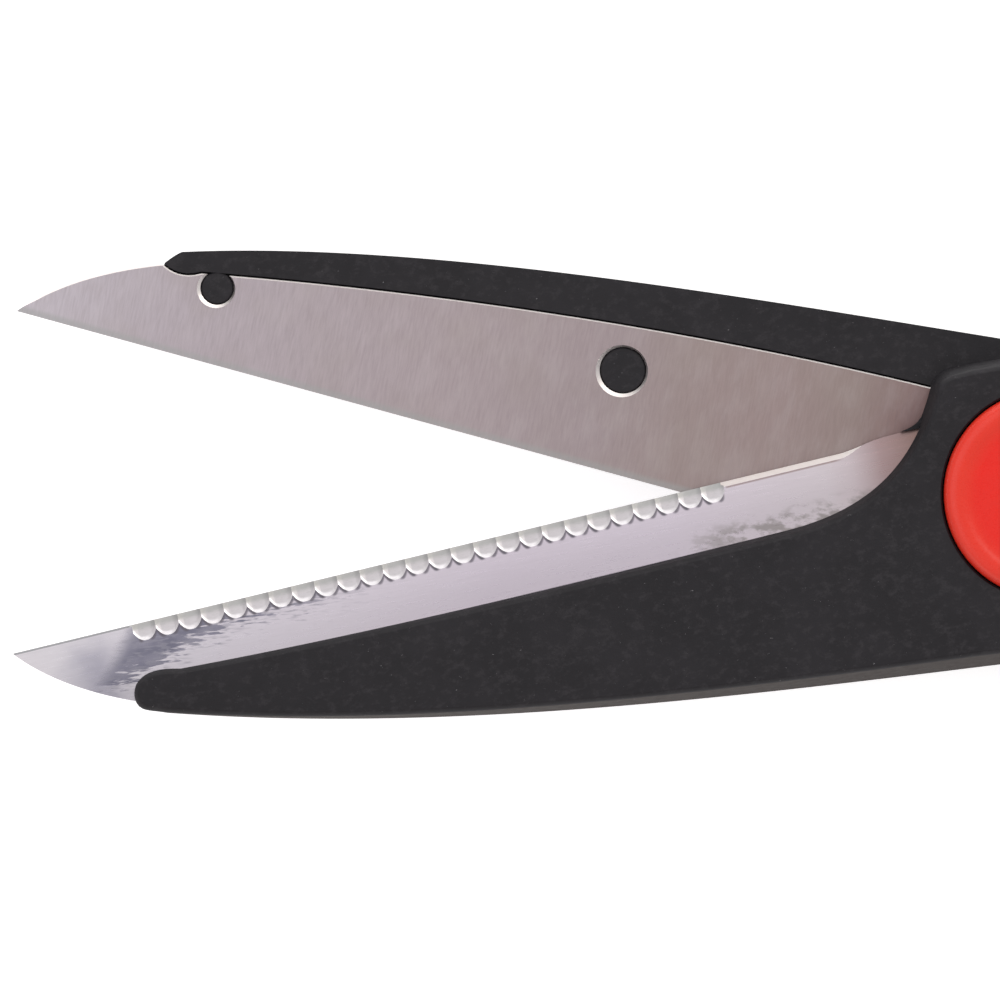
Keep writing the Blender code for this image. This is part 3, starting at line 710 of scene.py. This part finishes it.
def ground_blade(slope):
    """The blank with its outer face ground to the edge and its inner spine corner broken."""
    bm = prism(blade_outline(slope), INNER, OUTER)
    along = Vector((1, slope, 0)).normalized()
    inward = Vector((along.y, -along.x, 0))
    foot = Vector((TIP_X, TIP_Y, 0))
    lines = 8
    for i in range(1, lines + 1):
        outer = [f for f in bm.faces if f.normal.z > 0.9]
        edges = {e for f in outer for e in f.edges}
        verts = {v for f in outer for v in f.verts}
        bmesh.ops.bisect_plane(
            bm, geom=[*verts, *edges, *outer], dist=CUT_CLOSE,
            plane_co=foot + inward * (GRIND_WIDTH * i / lines), plane_no=inward,
        )
    for v in bm.verts:
        if v.co.z > OUTER - 0.01:
            v.co.z = ground_height(max(0.0, (v.co - foot).dot(inward)))
    # The inner face's corner along the spine is broken by a fine chamfer
    spine = [e for e in bm.edges if all(abs(v.co.z - INNER) < 1e-3 and v.co.y < -0.6 for v in e.verts)
             and any(abs(f.normal.z) < 0.5 for f in e.link_faces) and e.verts[0].co.x < -10]
    bmesh.ops.bevel(bm, geom=spine, offset=SPINE_CHAMFER, offset_type="OFFSET", segments=1, profile=0.5,
                    affect="EDGES", material=1)
    return bm


def flute_tool(slope):
    """A fluted bar: its underside is a row of arcs, and it dips towards the edge."""
    along = Vector((1, slope, 0)).normalized()
    outward = Vector((-along.y, along.x, 0))
    low = INNER + SCALLOP_LAND
    dip = (ground_height(SCALLOP_LENGTH) - low) / SCALLOP_LENGTH
    start = Vector((*edge_point(slope, FIRST_SCALLOP), 0))
    steps = 14
    profile = []
    for n in range(SCALLOPS):
        for i in range(steps):
            side = 2 * i / steps - 1
            profile.append(((n + i / steps) * PITCH, SCALLOP_CUSP * abs(side) ** SCALLOP_FLANK))
    profile += [(SCALLOPS * PITCH, SCALLOP_CUSP), (SCALLOPS * PITCH, 3.0), (0, 3.0)]
    return loft([[start + along * u + outward * out + Vector((0, 0, low - dip * out + h)) for u, h in profile]
                 for out in (0.5, -2.0 * SCALLOP_LENGTH)])


def edge_point(slope, along):
    """The point on the edge at a distance from the tip."""
    x = TIP_X + along / math.hypot(1, slope)
    return (x, edge_y(slope, x))


def hone_tool(path, width):
    """A bar along the path whose underside cuts the fine second bevel on the edge."""
    low = INNER + HONE_LAND
    steep = (ground_height(width) - low) / width
    ahead, behind, top = 0.6, -0.9, 4.0
    section = [(ahead, low - ahead * steep), (behind, low - behind * steep), (behind, top), (ahead, top)]
    rings = []
    for i, point in enumerate(path):
        before, after = Vector(path[max(0, i - 1)]), Vector(path[min(len(path) - 1, i + 1)])
        along = (after - before).normalized()
        out = Vector((-along.y, along.x))
        rings.append([(*(Vector(point) + out * o), z) for o, z in section])
    return loft(rings)


def heel_path(slope):
    """From the last scallop along the edge and up the heel, where the grind runs out."""
    x, y = edge_point(slope, FIRST_SCALLOP + SCALLOPS * PITCH - 0.2)
    foot = (HEEL_X, edge_y(slope, HEEL_X))
    return [(x, y), foot] + bezier(foot, (-15.9, foot[1] + 0.06), (-14.9, 6.5), (-14.0, 7.1), 8)


def hole_tool(x, y, radius, flare):
    """A drill that ran a little off its countersink in the blade's inner face."""
    sunk = arc((x, y), radius + flare, 0, 360, 72)[:-1]
    drilled = arc((x + DRILL_DRIFT[0], y + DRILL_DRIFT[1]), radius, 0, 360, 72)[:-1]
    return loft([level(sunk, -2), level(sunk, INNER), level(drilled, INNER + flare), level(drilled, 4)])


def make_blade(name, slope, place, body, face_finish, edge_finish, flutes=None):
    """A blade with its holes and second bevel, and with scallops where a finish for them is given."""
    blade = loose_object(name, ground_blade(slope), face_finish)
    blade.data.materials.append(edge_finish)
    low, high = BLADE_CUT
    seat, seat_top = PIVOT_BORE_R if flutes else WASHER_SEAT_R, INNER + WASHER_SEAT_DEPTH
    tools = [turned([(0, low), (seat, low), (seat, seat_top), (PIVOT_BORE_R, seat_top),
                     (PIVOT_BORE_R, high), (0, high)], 96)]
    tools += [cylinder(x, y, r, low, high) for x, y, r in TANG_HOLES]
    tools += [(hole_tool(*NOSE_HOLE, FLARE), edge_finish), (hole_tool(*WAIST_HOLE, WAIST_FLARE), edge_finish)]
    if flutes:
        before_first = [edge_point(slope, along) for along in (-2.0, FIRST_SCALLOP)]
        tools.append((hone_tool(before_first, TIP_HONE), flutes))
        tools.append((hone_tool(heel_path(slope), HEEL_HONE), edge_finish))
        tools.append((flute_tool(slope), flutes))
    else:
        tools.append((hone_tool([edge_point(slope, -2.0)] + heel_path(slope)[1:], REAR_HONE), edge_finish))
    carve(blade, tools)
    return finished(blade, place, body, [name], sharp_deg=12)


# Shells

def shell_height(x):
    """Height of the shell's face: it rises along the blade jacket and again to the handle."""
    if x < TAPER_END_X:
        share = max(0, (x - NOSE_X) / (TAPER_END_X - NOSE_X))
        return SHELL_NOSE + (SHELL_HUB - SHELL_NOSE) * share
    share = min(1, max(0, (x - RAMP_X) / (HANDLE_X - RAMP_X)))
    return SHELL_HUB + (HANDLE_HALF - SHELL_HUB) * share * share * (3 - 2 * share)


def handle_share(x):
    """0 on the blade jacket and hub, 1 on the handle."""
    share = min(1, max(0, (x - RAMP_X + 4) / 16))
    return share * share * (3 - 2 * share)


def draft(x, y):
    """How far the wall leans in: next to nothing at the nose, most at the hub's back."""
    back = min(1, max(0, (-y - 4) / 6))
    return 0.04 + (0.52 + 0.4 * back) * min(1, max(0, (x - NOSE_X) / 70))


def drawn_in(outline, amounts):
    """The outline with every point moved in by its own amount. Points that would cross are gathered."""
    moved = [Vector(point) - outward(outline, i) * amounts[i] for i, point in enumerate(outline)]
    for _ in range(12):
        for i, point in enumerate(outline):
            if (moved[i] - moved[i - 1]).dot(Vector(point) - Vector(outline[i - 1])) <= 0:
                moved[i - 1] = moved[i] = (moved[i] + moved[i - 1]) / 2
    return [tuple(point) for point in moved]


def edge_section(x, y=0.0):
    """The shell's section at a point, from the parting line to the face, as (inset, height) points."""
    outer, share = shell_height(x), handle_share(x)
    radius = JACKET_EDGE + (HANDLE_ROUND - JACKET_EDGE) * share
    section = [(0, SHELL_INNER)]
    for angle, (in_share, up_share) in zip(range(0, 91, 15), BROKEN_EDGE):
        a = math.radians(angle)
        ins = in_share + (1 - math.cos(a) - in_share) * share
        ups = up_share + (math.sin(a) - up_share) * share
        section.append((draft(x, y) + ins * radius, outer - radius + ups * radius))
    return section


def moulding(outline):
    """The outline as a solid with drafted walls and worked edges, drawn in rings.

    The rings are drawn a whole number apart in height, cut across where the face changes its
    slope, and then every point goes to the height that its ring has at its x.
    """
    sections = [edge_section(x, y) for x, y in outline]
    count = len(sections[0])
    rings = []
    for ring in range(count):
        amounts = [section[ring][0] for section in sections]
        rings.append(drawn_in(outline, amounts))
    numbered = list(enumerate(rings, 1))
    bm = loft([level(points, -number) for number, points in reversed(numbered)]
              + [level(points, number) for number, points in numbered])
    ramp_lines = [RAMP_X + (HANDLE_X - RAMP_X) * i / 8 for i in range(9)]
    for x in (TAPER_END_X, *ramp_lines):
        bmesh.ops.bisect_plane(
            bm, geom=bm.verts[:] + bm.edges[:] + bm.faces[:], dist=CUT_CLOSE,
            plane_co=(x, 0, 0), plane_no=(1, 0, 0),
        )
    for v in bm.verts:
        step = min(max(abs(v.co.z) - 1, 0), count - 1)
        low = min(int(step), count - 2)
        heights = [height for _, height in edge_section(v.co.x)[low:low + 2]]
        v.co.z = math.copysign(heights[0] + (heights[1] - heights[0]) * (step - low), v.co.z)
    bmesh.ops.remove_doubles(bm, verts=bm.verts, dist=CLOSE_ON_SHELL)
    return bm


def other_arm_room():
    """Room for the other arm: all that lies below the parting plane, off the handle."""
    outline = [(-100, -40), (0, -40)] + arc((0, 0), HUB_CLEAR_R, -90, 90, 72) + [(0, 40), (-100, 40)]
    return prism(outline, -9, SHELL_INNER)


def pivot_recess():
    """Room for the washers and the screw head, and for the cap, whose seat has a small lead-in."""
    face = SHELL_HUB
    return turned([(0, 1.0), (6.7, 1.0), (6.7, LEDGE_Z), (CAP_RECESS_R, LEDGE_Z), (CAP_RECESS_R, face - 0.15),
                   (CAP_RECESS_R + 0.25, face + 0.1), (CAP_RECESS_R + 0.25, 8), (0, 8)], 144)


def loop_tool(hole):
    """The hole through a handle, stepped out at both faces for the liner's lips."""
    face, step = HANDLE_HALF + 1, HANDLE_HALF - LINER_LIP
    lip, bare = loop_ring(hole, LINER_LIP), loop_ring(hole, 0)
    return loft([level(lip, -face), level(lip, -step), level(bare, -step),
                 level(bare, step), level(lip, step), level(lip, face)])


def make_shell(name, place, body, outline, slope, hole, plastic):
    """An arm's moulding: emptied round its blade, pivot and soft parts, then plugged into the holes."""
    shell = loose_object(name, moulding(outline), plastic)
    first, last, y, half_width = INLAY
    pocket = prism(grown(blade_outline(slope), POCKET_GAP), INNER - 0.1, OUTER + 0.04)
    tools = [other_arm_room(), pocket, pivot_recess(), loop_tool(hole)]
    tools.append(prism(slot_outline(first, last, y, half_width), HANDLE_HALF - INLAY_DEPTH, HANDLE_HALF + 1))
    tools.append(box((STOP_PAD[0], -2, -STOP_HALF), (STOP_PAD[1], SHANK_Y + 1.2, STOP_HALF)))
    carve(shell, tools)
    plugs = [plug_bm(NOSE_HOLE, SHELL_INNER), plug_bm(WAIST_HOLE, SHELL_INNER)]
    plugs += [cylinder(x, y, r - TANG_GAP, -0.5, PLUG_TOP, 24) for x, y, r in TANG_HOLES]
    # A web in the corner between the blade's heel and the hub
    web = [(-9.0, 8.2)] + bezier((-9.3, 8.1), (-9.5, 7.6), (-10.0, 7.25), (-11.2, 7.0), 6)
    web += [(-10.6, 6.99), (-8.0, 7.14), (-8.0, 8.2)]
    plugs.append(prism(web, SHELL_INNER, OUTER - 0.7))
    carve(shell, plugs, "UNION")
    return finished(shell, place, body, [name])


def plug_bm(hole, low):
    """The moulding's plug in a blade hole: a disc with a worn rim."""
    x, y, bore = hole
    radius = bore - PLUG_GAP
    profile = [(0, low), (radius - PLUG_RIM, low), (radius, low + PLUG_RIM), (radius, PLUG_TOP),
               (0, PLUG_TOP)]
    return turned(profile, 64, x + DRILL_DRIFT[0], y + DRILL_DRIFT[1])


# Grips

def make_liner(name, place, body, hole, soft):
    """The soft ring in a loop: a rounded lip on each face and a bulging inside."""
    step = HANDLE_HALF - LINER_LIP + SOFT_GAP
    crown = HANDLE_HALF - SOFT_GAP
    steps = 14
    lip = LINER_LIP - 0.06
    section = [(-0.03, step), (lip, step), (lip, crown - 0.35), (LINER_LIP - 0.22, crown - 0.1)]
    for i in range(steps + 1):
        a = math.radians(90 * i / steps)
        grow = LINER_LIP * 0.55 - (LINER_LIP * 0.55 + LINER_WALL) * math.sin(a)
        section.append((grow, crown - (crown - 1.5) * (1 - math.cos(a))))
    section += [(grow, -height) for grow, height in reversed(section)]
    rings = [level(loop_ring(hole, grow), height) for grow, height in section]
    liner = loose_object(name, loft(rings, closed=True), soft)
    return finished(liner, place, body, [name], sharp_deg=50)


def make_inlay(name, place, body, soft):
    """The soft strip in the handle's face, with a row of grip ribs across it."""
    first, last, y, half_width = INLAY
    low, high = HANDLE_HALF - INLAY_DEPTH + 0.02, HANDLE_HALF - 0.1
    bm = prism(slot_outline(first + SOFT_GAP, last - SOFT_GAP, y, half_width - SOFT_GAP, 24), low, high - 0.2)
    top = next(f for f in bm.faces if f.normal.z > 0.9)
    bmesh.ops.inset_region(bm, faces=[top], thickness=0.25, depth=0.2, use_even_offset=True)
    inlay = loose_object(name, bm, soft)
    pitch = (last - first - 2 * half_width) / (RIBS - 1)
    grooves = []
    for i in range(RIBS):
        groove = prism(slot_outline(-1.5, 1.5, 0, 0.28, 10), high - 0.32, high + 1)
        bmesh.ops.rotate(groove, verts=groove.verts, cent=(0, 0, 0),
                         matrix=Matrix.Rotation(math.radians(RIB_TURN), 3, "Z"))
        bmesh.ops.translate(groove, verts=groove.verts, vec=(first + half_width + i * pitch, y, 0))
        grooves.append(groove)
    carve(inlay, grooves)
    return finished(inlay, place, body, [name])


def make_stop_pad(name, place, body, rubber):
    """The soft block in the shank that meets the other arm's when the blades close."""
    low = (STOP_PAD[0] + SOFT_GAP, SHANK_Y - 0.5, -STOP_HALF + SOFT_GAP)
    high = (STOP_PAD[1] - SOFT_GAP, SHANK_Y + 1.1, STOP_HALF - SOFT_GAP)
    bm = box(low, high)
    bmesh.ops.bevel(bm, geom=bm.edges[:], offset=0.45, offset_type="OFFSET", segments=4, profile=0.5,
                    affect="EDGES", material=-1)
    return finished(loose_object(name, bm, rubber), place, body, [name], sharp_deg=60)


def make_cap(name, place, body, red, dish):
    """The pivot cap: a rounded rim, a broad ring and a shallow dish in the middle."""
    foot = LEDGE_Z + 0.3
    rim = CAP_TOP - 0.95
    shoulder = CAP_R - 1.1
    slope_foot, low = CAP_TOP - dish * 0.75, CAP_TOP - dish
    profile = [(0, 4.9), (7.7, 4.9), (7.7, foot), (8.45, foot), (CAP_R, foot + 0.25), (CAP_R, rim)]
    profile += bezier((CAP_R, rim), (CAP_R, CAP_TOP - 0.35), (CAP_R - 0.35, CAP_TOP), (shoulder, CAP_TOP), 10)
    profile += bezier((shoulder, CAP_TOP), (7.0, CAP_TOP), (6.9, CAP_TOP - dish * 0.6), (6.3, slope_foot), 8)
    profile += bezier((6.3, slope_foot), (4.6, low), (2.4, low), (0, low), 8)
    cap = loose_object(name, turned(profile, 160), red)
    return finished(cap, place, body, [name], sharp_deg=40)


# The object

flutes = flute_steel()
honed = bright_edge_steel()
front_steel = belt_ground_steel()
rear_steel = cross_ground_steel("cross_ground_stainless_steel", REAR, REAR_SLOPE)
black = spark_textured_abs()
red = gloss_red_abs()
soft = soft_red_tpr()
rubber = stop_rubber()
plated = plated_steel()
nylon = natural_nylon()

make_blade("front_blade", FRONT_SLOPE, FRONT, "front_arm", front_steel, honed, flutes)
make_blade("rear_blade", REAR_SLOPE, REAR, "rear_arm", rear_steel, honed)

# Under the nose: the handles and corners of two curves, from the nose to the jacket's back
front_chin = ((-77.9, -5.6), (-77.15, -6.12), (-76.8, -6.36), (-76.1, -6.45), (-75.2, -6.76))
rear_chin = ((-77.1, -5.0), (-76.05, -5.7), (-75.7, -6.1), (-75.05, -6.85), (-74.5, -7.19))
front_outline = shell_outline(front_chin, -13.45, (-53.0, -11.9), (-29.5, -12.7), THUMB_HOLE)
rear_outline = shell_outline(rear_chin, -12.1, (-55.0, -11.6), (-28.0, -11.75), FINGER_HOLE)
make_shell("front_shell", FRONT, "front_arm", front_outline, FRONT_SLOPE, THUMB_HOLE, black)
make_shell("rear_shell", REAR, "rear_arm", rear_outline, REAR_SLOPE, FINGER_HOLE, black)

make_liner("thumb_liner", FRONT, "front_arm", THUMB_HOLE, soft)
make_liner("finger_liner", REAR, "rear_arm", FINGER_HOLE, soft)
make_inlay("front_inlay", FRONT, "front_arm", soft)
make_inlay("rear_inlay", REAR, "rear_arm", soft)
make_stop_pad("front_stop_pad", FRONT, "front_arm", rubber)
make_stop_pad("rear_stop_pad", REAR, "rear_arm", rubber)
make_cap("front_cap", FRONT, "front_arm", red, 0.3)
make_cap("rear_cap", REAR, "rear_arm", red, 0.0)

carried_over = {
    plated: ("pivot_screw", "pivot_nut", "front_washer", "rear_washer", "wave_washer"),
    nylon: ("pivot_bush", "nylon_washer", "thrust_washer"),
}
for finish, names in carried_over.items():
    for node in names:
        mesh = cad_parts[node].data
        mesh.materials.clear()
        mesh.materials.append(finish)

# Floor, light and camera

floor_bm = bmesh.new()
bmesh.ops.create_grid(floor_bm, x_segments=1, y_segments=1, size=FLOOR_HALF)
bmesh.ops.translate(floor_bm, verts=floor_bm.verts, vec=(0, 0, -FLOOR_DROP))
bmesh.ops.scale(floor_bm, verts=floor_bm.verts, vec=(MM,) * 3)
white, tree, shader, mm = new_finish("white_table_top")
plug(tree, shader, {
    "Base Color": coated(tree, "DCDCDC", (grain(tree, mm, (50.0, 50.0, 50.0)), "D6D6D6")),
    "Roughness": 0.8, "Specular IOR Level": 0.2,
    "Emission Color": (1, 1, 1, 1), "Emission Strength": 0.72,
})
floor = loose_object("floor", floor_bm, white)


def soft_light(name, where, aim, size, watts, colour):
    lamp = bpy.data.lights.new(name, "AREA")
    lamp.shape = "RECTANGLE"
    lamp.size, lamp.size_y = size
    lamp.energy = watts
    lamp.color = linear(colour)[:3]
    obj = bpy.data.objects.new(name, lamp)
    bpy.context.scene.collection.objects.link(obj)
    obj.location = where
    obj.rotation_mode = "QUATERNION"
    obj.rotation_quaternion = (Vector(aim) - Vector(where)).to_track_quat("-Z", "Y")
    obj.visible_camera = False


soft_light("key", (0.42, 0.42, 0.55), (0, 0, 0), (0.25, 0.25), 1.9, "FFFAF4")
soft_light("overhead", (-0.22, 0.10, 0.55), (-0.05, 0, 0), (0.5, 0.4), 0.4, "FFFFFF")
soft_light("far_side", (-0.02, 0.6, 0.33), (-0.04, 0, 0), (0.9, 0.36), 1.1, "FFFBF6")
soft_light("fill", (-0.35, -0.55, 0.5), (0, 0, 0), (0.6, 0.4), 0.7, "FFE2D2")

scene = bpy.context.scene
world = bpy.data.worlds.new("studio") if not scene.world else scene.world
scene.world = world
world.use_nodes = True
sky = world.node_tree.nodes.get("Background")
sky.inputs["Color"].default_value = linear("F4F2F4")
sky.inputs["Strength"].default_value = 0.62
scene.view_settings.view_transform = "Standard"

camera_data = bpy.data.cameras.new("camera")
camera_data.lens = LENS
camera_data.sensor_width = SENSOR
camera_data.clip_end = 20.0
camera = bpy.data.objects.new("camera", camera_data)
scene.collection.objects.link(camera)
camera.location = (VIEW_POINT + Vector((0, 0, FRAME_WIDTH * LENS / SENSOR))) * MM
scene.camera = camera
